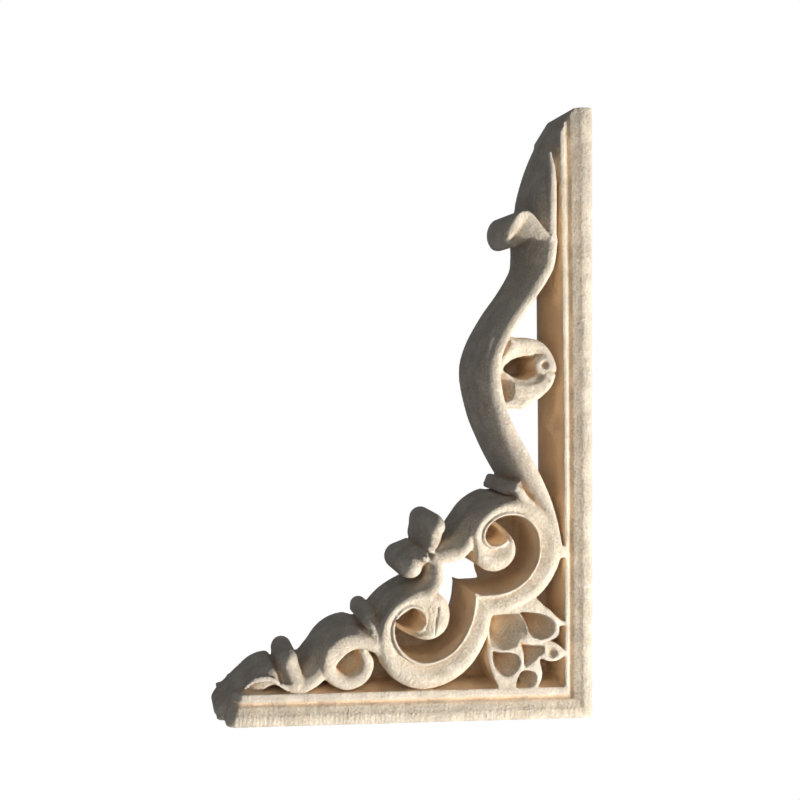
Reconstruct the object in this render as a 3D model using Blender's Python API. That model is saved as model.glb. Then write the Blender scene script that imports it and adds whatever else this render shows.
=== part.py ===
"""A carved wooden corner onlay: an L-shaped moulding filled with openwork scrolls and leaves.

It is one piece of pale bare wood, sawn and carved from the front, so every wall runs straight
back to a flat rear face. X is to the right and Z is up as the front is seen, and the front looks
along -Y. The origin is on the rear face, on the mitre of the two moulded bars.

Every place in the design is a pair of distances from the outer corner of the moulding: how far to
the left of the upright edge, and how far above the lower edge. They are in millimetres.
"""

import math

import bmesh
import bpy

MM = 0.001

# Driving dimensions of the onlay, in millimetres
HEIGHT = 255.0
BOTTOM_BAR = 151.5
BAR_WIDTH = 14.0
FILLET_TOP = 31.5
MITRE_POINT = BAR_WIDTH / 2

# How far pieces run past the rear face before they are sawn flat
REAR_WASTE = 2.0
# Distance between two cross-sections along a band
SECTION_STEP = 3.8
# The saw ran a little off square inside the C scrolls: their walls are this much thicker at the rear
DRAFT = 1.0
# The draft fades out before the curl: shares of the band's length
DRAFT_END = 0.6
DRAFT_FADE = 0.15
# The ridge of the top leaf lies on the leaf, and starts this high above the rear
RIDGE_START = 20.0
# The upright bar is this much wider at its top, and its top is sawn slanting down to the left
TOP_WIDENING = 1.08
SLANT_START = 8.8
SLANT = 1.4
# Extra waste, so that no two pieces have rear faces in one plane
MOULDING_WASTE = 0.8
BOSS_WASTE = 0.4
FLOOR_WASTE = 4.6
FLOOR_WASTE_STEP = 0.15

WOOD_COLOUR = (0.80, 0.67, 0.50, 1.0)
WOOD_ROUGHNESS = 0.75

# Cross-sections of the carved front: (share of the half width, share of the crown's depth)
# The first point is on the left of a traveller who goes along the band, seen from the front.
ROUND = [(-1.0, 1.0), (-0.85, 0.48), (-0.45, 0.1), (0.0, 0.0), (0.45, 0.1), (0.85, 0.48), (1.0, 1.0)]
CREST_LEFT = [(-1.0, 0.3), (-0.8, 0.02), (-0.45, 0.05), (0.0, 0.2), (0.5, 0.5), (0.85, 0.85), (1.0, 1.0)]
CREST_RIGHT = [(-across, drop) for across, drop in reversed(CREST_LEFT)]
TROUGH = [(-1.0, 0.3), (-0.84, 0.0), (-0.5, 0.7), (0.0, 1.0), (0.5, 0.7), (0.84, 0.0), (1.0, 0.3)]

# Moulding profile: (distance in from the outer edge, height of the front above the rear)
BAR_PROFILE = [
    (BAR_WIDTH, FILLET_TOP), (BAR_WIDTH - 3.0, FILLET_TOP), (BAR_WIDTH - 3.3, 28.9),
    (BAR_WIDTH - 4.8, 28.9), (8.2, 30.1), (5.9, 31.3), (4.4, 32.0), (1.8, 31.6), (0.9, 30.6),
    (0.3, 28.6), (0.0, 26.0),
]

# Bands: stations of (distance left, distance up, half width, height of the crest)
S_SCROLL = [
    (22.0, 197.0, 3.4, 35), (24.5, 186.0, 3.0, 35), (30.5, 176.0, 3.0, 35), (37.5, 166.0, 3.2, 35),
    (43.5, 154.0, 3.6, 35), (45.0, 143.0, 4.0, 35), (42.0, 128.0, 4.0, 35), (37.5, 117.5, 4.3, 35),
    (33.0, 109.0, 4.6, 35), (27.0, 98.5, 4.4, 34.5), (21.0, 87.0, 3.2, 34), (16.5, 75.0, 1.8, 33),
    (15.0, 69.0, 1.2, 32),
]
WAVE_CREST = [
    (22.5, 194.0, 3.2, 34.8), (23.0, 202.0, 2.8, 34.5), (27.0, 207.0, 2.6, 34),
    (32.0, 208.0, 2.8, 33), (35.2, 204.5, 2.4, 31.5),
]
TOP_LEAF = [
    (21.5, 194.0, 2.8, 33.5), (20.8, 206.0, 3.0, 33.5), (20.2, 217.0, 2.9, 32.5),
    (17.2, 228.0, 2.7, 30), (13.2, 237.0, 2.4, 27.5), (8.6, 244.6, 2.2, 25), (5.2, 249.4, 1.8, 24),
]
TOP_LEAF_RIDGE = [
    (21.0, 200.0, 2.2, 34), (20.2, 215.0, 1.9, 34), (19.2, 228.0, 1.4, 33), (19.0, 236.0, 0.6, 31),
]
RING_SCROLL = [
    (42.5, 151.0, 3.4, 33.5), (36.0, 155.0, 3.2, 34), (28.5, 155.8, 3.2, 34), (22.0, 152.5, 3.6, 34),
    (18.8, 146.0, 3.4, 34), (20.8, 138.8, 4.0, 33.5), (26.5, 134.0, 4.2, 33), (34.0, 133.0, 4.2, 32),
    (41.0, 134.0, 4.2, 32),
]
RING_LIP = [
    (42.5, 147.5, 1.4, 33), (38.0, 143.0, 1.2, 32), (33.5, 139.4, 1.6, 31), (28.0, 137.0, 1.8, 31),
]
UPPER_C = [
    (52.4, 50.2, 3.8, 34), (46.5, 49.4, 4.4, 34), (39.5, 50.0, 4.4, 34), (32.0, 53.0, 4.4, 34),
    (25.5, 58.5, 4.5, 34), (21.2, 66.0, 4.6, 34), (20.2, 74.0, 4.6, 34), (22.5, 82.0, 4.3, 34),
    (28.5, 87.5, 3.5, 34), (36.0, 89.0, 2.8, 34), (43.0, 87.0, 2.4, 34), (48.6, 82.0, 2.4, 34),
    (50.0, 75.5, 2.9, 34), (47.0, 70.0, 4.0, 33.5), (42.0, 67.8, 4.8, 33.5), (36.8, 71.0, 3.9, 33),
    (36.2, 76.6, 2.2, 32.5), (39.0, 81.0, 1.0, 32),
]
LOWER_C = [
    (48.0, 52.5, 3.8, 34), (48.5, 44.0, 4.6, 34), (51.5, 35.5, 4.9, 34), (57.5, 27.5, 5.0, 34),
    (66.0, 22.2, 5.0, 34), (75.0, 21.3, 5.0, 34), (82.5, 25.0, 4.8, 34), (87.3, 32.0, 4.0, 34),
    (88.2, 40.0, 2.7, 34), (85.0, 46.8, 2.3, 34), (78.8, 50.6, 2.4, 34), (71.6, 50.4, 3.8, 33.5),
    (67.2, 45.0, 5.2, 33), (70.4, 38.8, 4.4, 32.5), (75.6, 36.4, 2.2, 31.5), (79.0, 36.4, 0.9, 31),
]
UPPER_ARM = [
    (70.5, 69.5, 3.2, 32), (64.0, 70.4, 4.0, 33), (58.2, 71.8, 3.9, 33), (54.4, 75.6, 3.2, 33),
    (51.4, 80.6, 2.6, 32.5), (47.6, 85.6, 2.6, 32), (42.0, 89.6, 2.6, 32), (35.0, 92.0, 2.4, 31.5),
]
LOWER_ARM = [
    (70.2, 70.5, 3.0, 32), (68.2, 65.0, 3.2, 33), (68.6, 59.0, 3.6, 33), (72.5, 54.0, 3.6, 32),
    (78.5, 50.8, 3.2, 31), (84.0, 47.0, 3.0, 31), (88.6, 42.0, 2.8, 30.5), (90.0, 34.5, 1.8, 30),
]
UPPER_KNOB_NECK = [(69.5, 69.0, 2.8, 31.5), (67.8, 75.0, 3.2, 31.5), (66.5, 80.5, 3.4, 31)]
LOWER_KNOB_NECK = [(69.5, 69.0, 2.8, 31.5), (73.0, 67.5, 3.4, 31), (76.0, 65.0, 4.2, 30)]
COLLAR = [(27.5, 91.5, 2.6, 33), (32.0, 94.0, 2.6, 33), (35.2, 96.2, 2.2, 31)]
RAIL_COLLAR = [
    (95.0, 44.4, 2.4, 29), (93.6, 40.4, 2.8, 31), (91.0, 35.5, 2.2, 32), (88.6, 30.5, 1.2, 32),
]
RAIL_RING = [
    (88.5, 28.5, 1.6, 32), (93.5, 33.0, 2.5, 32.5), (99.5, 35.2, 2.8, 32.5), (105.8, 34.8, 2.9, 32.5),
    (110.9, 31.0, 3.0, 32.5), (112.4, 25.0, 3.0, 32.5), (109.4, 19.8, 3.1, 32), (103.6, 17.8, 3.2, 32),
    (98.0, 20.4, 3.1, 31.5), (95.6, 25.6, 2.7, 31), (97.6, 30.2, 1.6, 31),
]
RAIL_WAVE = [
    (94.5, 35.5, 2.4, 31), (100.5, 37.0, 3.0, 31), (106.0, 35.6, 3.2, 31), (110.6, 31.6, 3.4, 31),
    (114.6, 26.4, 3.6, 31), (118.8, 21.2, 3.6, 31), (122.4, 17.2, 3.6, 31), (123.6, 15.4, 3.2, 31),
]
RAIL_KNOB = [(124.6, 15.8, 3.4, 31), (126.0, 20.0, 4.2, 31), (127.8, 25.0, 4.0, 30)]
END_LEAF = [
    (128.5, 18.5, 3.2, 28), (134.5, 20.6, 3.4, 29), (139.8, 18.8, 3.8, 28.5), (144.2, 14.6, 4.2, 27.5),
    (149.0, 9.8, 4.4, 26), (153.0, 6.0, 4.0, 24.5), (155.6, 3.8, 2.8, 23),
]
RIGHT_PETAL = [
    (35.5, 51.0, 2.4, 32), (30.0, 46.6, 5.4, 32), (24.6, 41.2, 6.4, 32), (19.6, 37.2, 4.6, 32),
    (17.4, 35.6, 1.8, 32),
]
RIGHT_PETAL_TIP = [(21.0, 44.0, 2.0, 32), (17.0, 41.6, 1.6, 32), (13.2, 40.4, 0.9, 31.5)]
SMALL_PETAL = [
    (28.0, 33.5, 2.2, 31.5), (22.8, 30.8, 3.4, 31.5), (18.0, 28.8, 3.8, 31.5), (13.2, 28.0, 1.2, 31.5),
]
LOW_PETAL = [
    (39.5, 35.0, 3.6, 32), (38.8, 29.0, 6.4, 32), (38.2, 23.2, 6.4, 32), (38.0, 18.4, 3.6, 32),
    (38.0, 13.2, 1.8, 31.5),
]
LAST_PETAL = [
    (29.4, 29.0, 2.4, 31.5), (27.6, 23.2, 4.0, 31.5), (26.6, 18.4, 3.8, 31.5), (26.4, 13.2, 1.4, 31.5),
]
HEART = [(43.5, 44.5, 3.0, 27.5), (38.5, 38.8, 5.8, 26.5), (32.0, 33.0, 6.2, 27), (25.6, 27.4, 4.4, 28)]

# Round bosses: (distance left, distance up, radius, height, depth of the dome)
BOSSES = {
    "wave_curl": (31.0, 203.6, 5.3, 31.0, 3.5),
    "upper_knob": (66.2, 81.4, 4.1, 30.5, 3.6),
    "lower_knob": (76.8, 64.2, 5.4, 29.5, 4.5),
    "rail_knob_end": (127.9, 26.0, 4.4, 29.6, 3.4),
    "ring_floor": (31.0, 144.6, 9.5, 9.0, 1.0),
    "small_joint": (14.6, 70.4, 2.2, 32.5, 1.0),
}

# Floors that the router left: the eyes of the C scrolls and of the rail's ring are blind, and so are
# the corners above the lower bar. Each is a height above the rear and an outline that runs on under
# the forms round it.
FLOORS = {
    "upper_eye_floor": (9.4, [
        (52.0, 74.0), (50.0, 84.0), (43.0, 89.0), (32.0, 90.0), (22.0, 84.0), (19.0, 74.0), (22.0, 62.0),
        (30.0, 53.5), (38.0, 51.0), (42.0, 58.0), (43.0, 66.0),
    ]),
    "lower_eye_floor": (9.5, [
        (89.0, 40.0), (86.0, 48.0), (78.0, 52.0), (69.0, 49.0), (65.5, 40.0), (66.0, 24.0), (76.0, 20.0),
        (86.0, 28.0),
    ]),
    "rail_floor": (10.0, [
        (148.0, 9.0), (143.0, 13.5), (134.0, 18.0), (124.0, 18.0), (111.0, 24.0), (104.0, 34.0),
        (92.0, 31.0), (80.0, 22.0), (66.0, 22.0), (56.0, 29.0), (49.5, 38.0), (42.0, 40.0), (30.0, 40.0),
        (20.0, 32.0), (13.0, 24.0), (12.0, 9.0),
    ]),
}


def place(left, up, height):
    """The point of the onlay at a design position and a height above the rear face."""
    return (
        (MITRE_POINT - left) * MM,
        -height * MM,
        (up - MITRE_POINT) * MM,
    )


def new_object(name, bm, collection):
    """An object of that name from a bmesh, with its faces turned outwards."""
    bmesh.ops.recalc_face_normals(bm, faces=bm.faces)
    mesh = bpy.data.meshes.new(name)
    bm.to_mesh(mesh)
    bm.free()
    thing = bpy.data.objects.new(name, mesh)
    collection.objects.link(thing)
    return thing


def loft(name, rings, collection):
    """A closed solid between cross-sections that all have the same number of corners."""
    bm = bmesh.new()
    loops = [[bm.verts.new(corner) for corner in ring] for ring in rings]
    count = len(loops[0])
    for near, far in zip(loops, loops[1:]):
        for i in range(count):
            j = (i + 1) % count
            bm.faces.new((near[i], near[j], far[j], far[i]))
    bm.faces.new(loops[0])
    bm.faces.new(loops[-1])
    return new_object(name, bm, collection)


def smooth_path(stations):
    """Samples of a smooth curve through the stations, about one section step apart."""
    ends = [stations[0]] + list(stations) + [stations[-1]]
    samples = []
    for i in range(1, len(ends) - 2):
        before, start, end, after = ends[i - 1], ends[i], ends[i + 1], ends[i + 2]
        pieces = max(1, round(math.dist(start[:2], end[:2]) / SECTION_STEP))
        for step in range(pieces):
            t = step / pieces
            samples.append([
                0.5 * (2 * q + (r - p) * t + (2 * p - 5 * q + 4 * r - s) * t * t
                       + (3 * q - p - 3 * r + s) * t * t * t)
                for p, q, r, s in zip(before, start, end, after)
            ])
    samples.append(list(stations[-1]))
    return samples


def band(name, stations, profile, crown, collection, rear=REAR_WASTE, draft=0.0):
    """A carved band along a smooth path, on straight walls. The crown is shallower where it narrows."""
    path = smooth_path(stations)
    widest = max(station[2] for station in stations)
    rings = []
    for i, (left, up, half, top) in enumerate(path):
        before, after = path[max(i - 1, 0)], path[min(i + 1, len(path) - 1)]
        run, rise = before[0] - after[0], after[1] - before[1]
        length = math.hypot(run, rise)
        # The unit vector to the traveller's right, as seen from the front
        right, down = rise / length, run / length
        depth = crown * half / widest
        ring = [place(left - across * half * right, up - across * half * down, top - drop * depth)
                for across, drop in profile]
        foot = half + draft * min(1.0, max(0.0, (DRAFT_END - i / len(path)) / DRAFT_FADE))
        ring.append(place(left - foot * right, up - foot * down, -rear))
        ring.append(place(left + foot * right, up + foot * down, -rear))
        rings.append(ring)
    return loft(name, rings, collection)


def boss(name, left, up, radius, height, dome, collection, sides=18):
    """A round post with a domed front, turned about the line of sight."""
    bm = bmesh.new()
    bmesh.ops.create_cone(bm, cap_ends=True, segments=sides, radius1=radius * MM,
                          radius2=radius * MM, depth=(height + REAR_WASTE + BOSS_WASTE) * MM)
    front = [edge for edge in bm.edges if all(v.co.z > 0 for v in edge.verts) and len(edge.link_faces) == 2]
    rim = [edge for edge in front if any(len(face.verts) > 4 for face in edge.link_faces)]
    bmesh.ops.bevel(bm, geom=rim, offset=dome * MM, segments=3, affect="EDGES", profile=0.5)
    thing = new_object(name, bm, collection)
    thing.rotation_euler = (math.radians(90), 0, 0)
    x, _, z = place(left, up, 0)
    thing.location = (x, -(height - REAR_WASTE - BOSS_WASTE) / 2 * MM, z)
    return thing


def floor(name, outline, height, waste, collection):
    """A flat floor inside an outline, from behind the rear face up to its height."""
    rings = [[place(left, up, level) for left, up in outline] for level in (-waste, height)]
    return loft(name, rings, collection)


def moulding(collection):
    """The two bars in one: the profile swept from the left end round the mitre to the top end."""
    section = [(inward, height) for inward, height in BAR_PROFILE]
    section += [(0.0, -REAR_WASTE - MOULDING_WASTE), (BAR_WIDTH, -REAR_WASTE - MOULDING_WASTE)]
    left_end = [place(BOTTOM_BAR, inward, height) for inward, height in section]
    corner = [place(inward, inward, height) for inward, height in section]
    top_end = []
    for inward, height in section:
        left = inward * TOP_WIDENING
        top_end.append(place(left, HEIGHT - SLANT * max(0.0, left - SLANT_START), height))
    return loft("moulding", [left_end, corner, top_end], collection)


def rear_cutter(collection):
    """A block behind the rear face: what it takes off leaves the back flat."""
    bm = bmesh.new()
    bmesh.ops.create_cube(bm, size=1.0)
    thing = new_object("rear_cutter", bm, collection)
    margin, depth = 40.0, 20.0
    left, _, bottom = place(BOTTOM_BAR + margin, -margin, 0)
    right, _, top = place(-margin, HEIGHT + margin, 0)
    for vertex in thing.data.vertices:
        vertex.co.x = left if vertex.co.x < 0 else right
        vertex.co.y = 0.0 if vertex.co.y < 0 else depth * MM
        vertex.co.z = bottom if vertex.co.z < 0 else top
    return thing


def carving(collection):
    """Every scroll, leaf and boss that is joined to the moulding, in the order of joining."""
    # Each band: name, stations, profile, depth of its crown, and how much further its waste runs.
    # The waste differs, so that no two pieces have rear faces in one plane.
    bands = [
        ("s_scroll", S_SCROLL, CREST_LEFT, 6.5, 0.0),
        ("wave_crest", WAVE_CREST, CREST_LEFT, 5.0, 0.1),
        ("top_leaf", TOP_LEAF, CREST_RIGHT, 4.0, 0.2),
        ("top_leaf_ridge", TOP_LEAF_RIDGE, ROUND, 3.0, -RIDGE_START - REAR_WASTE),
        ("ring_scroll", RING_SCROLL, TROUGH, 2.0, 0.4),
        ("ring_lip", RING_LIP, ROUND, 2.0, 0.5),
        ("upper_c", UPPER_C, TROUGH, 3.0, 0.6),
        ("lower_c", LOWER_C, TROUGH, 3.0, 0.7),
        ("upper_arm", UPPER_ARM, ROUND, 4.0, 0.8),
        ("lower_arm", LOWER_ARM, ROUND, 4.0, 0.9),
        ("upper_knob_neck", UPPER_KNOB_NECK, ROUND, 3.0, 1.0),
        ("lower_knob_neck", LOWER_KNOB_NECK, ROUND, 3.0, 1.1),
        ("collar", COLLAR, ROUND, 3.0, 1.2),
        ("rail_collar", RAIL_COLLAR, ROUND, 3.0, 1.3),
        ("rail_ring", RAIL_RING, ROUND, 2.4, 1.4),
        ("rail_wave", RAIL_WAVE, CREST_LEFT, 6.0, 1.5),
        ("rail_knob", RAIL_KNOB, ROUND, 4.0, 1.6),
        ("end_leaf", END_LEAF, CREST_LEFT, 5.0, 1.7),
        ("right_petal", RIGHT_PETAL, TROUGH, 8.0, 1.8),
        ("right_petal_tip", RIGHT_PETAL_TIP, ROUND, 1.0, 1.9),
        ("small_petal", SMALL_PETAL, TROUGH, 4.0, 2.0),
        ("low_petal", LOW_PETAL, TROUGH, 8.0, 2.1),
        ("last_petal", LAST_PETAL, TROUGH, 5.0, 2.2),
        ("heart", HEART, ROUND, 2.0, 2.3),
    ]
    made = [floor(name, outline, height, FLOOR_WASTE + i * FLOOR_WASTE_STEP, collection)
            for i, (name, (height, outline)) in enumerate(FLOORS.items())]
    made += [band(name, stations, profile, crown, collection, REAR_WASTE + extra,
                  DRAFT if name.endswith("_c") else 0.0)
             for name, stations, profile, crown, extra in bands]
    made += [boss(name, *numbers, collection) for name, numbers in BOSSES.items()]
    return made


def wood():
    """Bare pale wood, matt."""
    material = bpy.data.materials.new("bare_wood")
    material.use_nodes = True
    shader = material.node_tree.nodes["Principled BSDF"]
    shader.inputs["Base Color"].default_value = WOOD_COLOUR
    shader.inputs["Roughness"].default_value = WOOD_ROUGHNESS
    shader.inputs["Metallic"].default_value = 0.0
    return material


def boolean(thing, other, operation):
    """Keeps the join or the cut as a live modifier, with the exact solver."""
    modifier = thing.modifiers.new(other.name, "BOOLEAN")
    modifier.operation = operation
    modifier.solver = "EXACT"
    modifier.object = other


def main():
    for old in list(bpy.data.objects):
        bpy.data.objects.remove(old, do_unlink=True)
    parts = bpy.data.collections.new("corner_onlay")
    guides = bpy.data.collections.new("carving_guides")
    bpy.context.scene.collection.children.link(parts)
    bpy.context.scene.collection.children.link(guides)
    onlay = moulding(parts)
    onlay.name = "carved_corner_onlay"
    onlay.data.name = onlay.name
    onlay.data.materials.append(wood())
    for piece in carving(guides):
        boolean(onlay, piece, "UNION")
    boolean(onlay, rear_cutter(guides), "DIFFERENCE")
    for guide in guides.objects:
        guide.hide_render = True
        guide.display_type = "WIRE"


main()
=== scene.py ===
# %% [markdown]
# # A carved corner onlay in bare wood
# The onlay is cut from one plank: an L-shaped moulding with scrolls and leaves that fill its corner.
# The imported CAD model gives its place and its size. This lesson gives it the relief and the finish of
# the carved wood, sets it in soft light, and looks at it from the front left.

# %% Load the frame and keep its size
import math

import bpy
import numpy as np
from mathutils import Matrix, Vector


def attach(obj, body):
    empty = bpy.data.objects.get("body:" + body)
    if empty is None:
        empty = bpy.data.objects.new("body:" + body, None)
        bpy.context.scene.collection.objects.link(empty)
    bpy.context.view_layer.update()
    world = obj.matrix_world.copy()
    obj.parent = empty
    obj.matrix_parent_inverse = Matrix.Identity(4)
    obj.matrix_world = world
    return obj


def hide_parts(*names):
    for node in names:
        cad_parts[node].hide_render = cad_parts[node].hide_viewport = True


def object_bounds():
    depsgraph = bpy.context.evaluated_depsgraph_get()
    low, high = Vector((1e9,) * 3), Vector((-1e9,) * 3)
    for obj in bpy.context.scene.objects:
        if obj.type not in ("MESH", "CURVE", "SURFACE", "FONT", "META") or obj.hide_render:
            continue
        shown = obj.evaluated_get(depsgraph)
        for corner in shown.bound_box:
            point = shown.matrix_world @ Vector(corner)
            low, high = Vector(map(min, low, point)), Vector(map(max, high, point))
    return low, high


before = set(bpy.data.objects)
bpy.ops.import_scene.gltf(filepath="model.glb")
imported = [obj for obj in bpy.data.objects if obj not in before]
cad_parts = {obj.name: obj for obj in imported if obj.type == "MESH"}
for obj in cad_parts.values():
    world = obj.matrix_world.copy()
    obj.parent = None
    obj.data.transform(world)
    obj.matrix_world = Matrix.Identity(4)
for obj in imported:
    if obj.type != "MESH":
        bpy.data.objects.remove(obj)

cad_low, cad_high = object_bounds()
print("CAD box, in metres:", [round(v, 4) for v in cad_low], [round(v, 4) for v in cad_high])

# %% [markdown]
# ## Measuring from the corner
# A carver marks the plank out from its outer corner. Every place here is a pair of distances from
# that corner, in millimetres: how far left of the upright edge, and how far up from the lower edge.
# The third number is a height above the flat rear. The wood is first worked out as a block of cells:
# each cell holds how far inside the wood it lies, or, as a negative number, how far outside. Carving
# is cut straight in from the front, so any scroll is an outline and a height, and the block is
# a good way to join and hollow them without loose edges.

# %% The block of cells
MM = 0.001
MITRE_POINT = 7.0
CELL = 0.55
OUTSIDE = -4.0
BLOCK_START = -1.3
BLOCK_ENDS = (159.5, 257.5, 36.8)
lefts, ups, heights = (np.arange(BLOCK_START, end, CELL, dtype=np.float32) for end in BLOCK_ENDS)


def blank():
    """A block with no wood in it: every cell lies outside."""
    return np.full((len(lefts), len(ups), len(heights)), OUTSIDE, dtype=np.float32)


def tell(what, block):
    """Prints how much wood a block holds, in cubic centimetres."""
    print(what + ":", round(float((block > 0).sum()) * (CELL / 10) ** 3, 1), "cubic centimetres of wood")


print("cells:", len(lefts), "x", len(ups), "x", len(heights))

# %% [markdown]
# ## Smooth paths
# Scrolls are drawn with a few marks that a smooth line runs through. The line here is the usual
# four-point spline: between two marks it bends by where the marks before and after them lie.

# %% A smooth line through marks
SPACING, FINE_SPACING = 0.9, 0.6
TINY = 1e-6


def smooth(marks, closed=False, spacing=SPACING):
    """Samples on a smooth spline: half of (2q + (r-p)t + (2p-5q+4r-s)t^2 + (3q-p-3r+s)t^3)."""
    marks = np.asarray(marks, dtype=float)
    before, after = (marks[-1:], marks[:2]) if closed else (marks[:1], marks[-1:])
    ends = np.vstack([before, marks, after])
    runs = []
    for p, q, r, s in zip(ends, ends[1:], ends[2:], ends[3:]):
        count = max(2, int(round(np.hypot(*(r - q)[:2]) / spacing)))
        t = (np.arange(count) / count)[:, None]
        runs.append(0.5 * (2 * q + (r - p) * t + (2 * p - 5 * q + 4 * r - s) * t**2
                           + (3 * q - p - 3 * r + s) * t**3))
    last = ends[1:2] if closed else marks[-1:]
    return np.vstack(runs + [last])


def window(path, margin):
    """The part of the block round a path: its slices, and the grids of left and up there."""
    low = path[:, :2].min(axis=0) - margin
    high = path[:, :2].max(axis=0) + margin
    i = slice(*np.searchsorted(lefts, [low[0], high[0]]))
    j = slice(*np.searchsorted(ups, [low[1], high[1]]))
    left, up = np.meshgrid(lefts[i], ups[j], indexing="ij")
    return i, j, left, up


def nearest(path, left, up, widths=None):
    """Where each point lies beside a path: signed distance (right of a traveller is positive),
    length along it, and the path's own numbers there. The nearest stretch wins, widths counted."""
    point = np.stack([left.ravel(), up.ravel()], axis=1)[:, None, :]
    start, run = path[:-1, :2], np.diff(path[:, :2], axis=0)
    long = np.maximum(np.hypot(run[:, 0], run[:, 1]), TINY)
    offset = point - start
    t = np.clip((offset * run).sum(axis=2) / long**2, 0, 1)
    away = offset - t[..., None] * run
    far = np.hypot(away[..., 0], away[..., 1])
    score = far if widths is None else far - (widths[:-1] + t * np.diff(widths))
    best = score.argmin(axis=1)
    row = np.arange(len(best))
    t, away, far = t[row, best], away[row, best], far[row, best]
    side = np.sign(away[:, 1] * run[best, 0] - away[:, 0] * run[best, 1])
    along = np.concatenate([[0], np.cumsum(long)])[best] + t * long[best]
    values = path[best, 2:] + t[:, None] * (path[best + 1, 2:] - path[best, 2:])
    shape = left.shape
    return (far * side).reshape(shape), along.reshape(shape), [v.reshape(shape) for v in values.T]


# %% [markdown]
# ## Cross-sections
# A scroll's face isn't flat. Some bands are round like a finger, some have their crest near one edge
# and roll over to the other like a quarter of a tube, and the two large C scrolls have a thin bead
# along the inner edge with a groove beside it. Each section is a function of the distance across.

# %% The sections of the bands
NEARLY_ONE = 0.995
ROUNDNESS = 2.4
CREST_AT, ROLL_SPAN, BACK_SPAN, BACK_DROP = 0.55, 1.55, 0.45, 0.9
BEAD_WIDTH, BEAD_MIDDLE, BEAD_HALF, BEAD_DROP = 1.3, 0.6, 0.7, 0.5
SWELL_AT, SWELL_SPAN, SWELL_DROP, INNER_DROP, OUTER_DROP, LEAST_DROP = 0.2, 0.8, 0.16, 0.5, 0.84, 0.25


def round_face(across, half, depth):
    """The crown falls from the middle as 1 - sqrt(1 - u^2.4), with u the share of the half width."""
    u = np.clip(np.abs(across) / half, 0, NEARLY_ONE)
    return depth * (1 - np.sqrt(1 - u**ROUNDNESS))


def rolled_face(across, half, depth):
    """The crest lies 0.55 of the half width to the left. From there the face rolls over to the right
    edge as 1 - sqrt(1 - v^2), with v from 0 at the crest to 1 at the edge, like a quarter tube."""
    u = np.clip(across / half, -1, 1)
    roll = np.clip((u + CREST_AT) / ROLL_SPAN, 0, NEARLY_ONE)
    back = np.clip((-CREST_AT - u) / BACK_SPAN, 0, 1)
    return depth * (1 - np.sqrt(1 - roll**2)) + BACK_DROP * back**2


def bead_face(across, half, depth):
    """A bead 1.3 mm wide on the left edge, then a face that is highest at u = 0.2. From there it falls
    by half the depth times v^1.5 to the bead, and by 0.84 of it times w^2.2 to the right edge."""
    edge = across + half
    bead = BEAD_DROP * np.clip(np.abs(edge - BEAD_MIDDLE) / BEAD_HALF, 0, 1) ** 2
    u = np.clip(across / half, -1, 1)
    inner = np.clip(SWELL_AT - u, 0, 1) ** 1.5
    outer = np.clip((u - SWELL_AT) / SWELL_SPAN, 0, 1) ** 2.2
    swell = SWELL_DROP + INNER_DROP * inner + OUTER_DROP * outer
    return np.where(edge < BEAD_WIDTH, bead, np.maximum(depth * swell, LEAST_DROP))


def mirrored(face):
    """The same section with its left and right changed over."""
    return lambda across, half, depth: face(-across, half, depth)


# %% [markdown]
# ## Joining wood
# A band joins the block where it lies further inside the wood than what is there, and where two
# meet, a small fillet of wood is left, as a gouge leaves it. There are four shapes to join: a band
# along a path, a round boss, a flat slab with a rolled edge, and a cowl that falls from a crest.

# %% Join wood to the block
FILLET, WIDE_FILLET = 0.7, 1.5
COWL_FALL, COWL_DROP, COWL_ROLL = 1.7, 0.8, 1.2


def joined(block, i, j, more, fillet=FILLET):
    """The greater of the two depths, with k h (1 - h) added where they are nearly equal."""
    there = block[i, j]
    share = np.clip(0.5 + 0.5 * (more - there) / fillet, 0, 1)
    block[i, j] = there + (more - there) * share + fillet * share * (1 - share)


def beyond(line, left, up):
    """Signed distance to a straight line through two marks, positive on a traveller's right."""
    (a, b), (c, d) = line
    return ((c - a) * (up - b) - (d - b) * (left - a)) / math.hypot(c - a, d - b)


def join_band(block, marks, face=round_face, crown=3.0, foot=0.0, mitre=None, fillet=FILLET):
    """Adds a band of wood. A cell's depth inside it is the lesser of the height above it that is
    still wood, and its distance from the edge. The crown is shallower where the band narrows. With
    a foot, the band starts at that height. A mitre line saws it off and keeps what is on its right."""
    path = smooth(marks)
    widest = max(mark[2] for mark in marks)
    i, j, left, up = window(path, widest + 2)
    across, _, (half, top) = nearest(path, left, up, path[:, 2])
    surface = (top - face(across, half, crown * half / widest))[..., None] - heights
    edge = half - np.abs(across)
    if mitre:
        edge = np.minimum(edge, beyond(mitre, left, up))
    wood = np.minimum(surface, edge[..., None])
    if foot:
        wood = np.minimum(wood, heights - foot)
    joined(block, i, j, wood, fillet)


def join_dome(block, left0, up0, radius, top, dome):
    """Adds a round boss whose front is a dome: it falls by dome times 1 - sqrt(1 - r^2)."""
    i, j, left, up = window(np.array([[left0, up0], [left0, up0]]), radius + 2)
    far = np.hypot(left - left0, up - up0)
    lower = dome * (1 - np.sqrt(1 - np.clip(far / radius, 0, NEARLY_ONE) ** 2))
    joined(block, i, j, np.minimum((top - lower)[..., None] - heights, (radius - far)[..., None]))


def inside(outline, left, up):
    """Signed distance to a closed outline, positive inside, by counting crossings of its sides."""
    distance, _, _ = nearest(outline, left, up)
    x, y = left.ravel()[:, None], up.ravel()[:, None]
    a, b = outline[:-1, 0], outline[:-1, 1]
    c, d = outline[1:, 0], outline[1:, 1]
    rises = (b > y) != (d > y)
    where = a + (y - b) * (c - a) / np.where(d == b, TINY, d - b)
    odd = (rises & (x < where)).sum(axis=1) % 2 == 1
    return np.abs(distance) * np.where(odd.reshape(left.shape), 1, -1)


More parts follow.
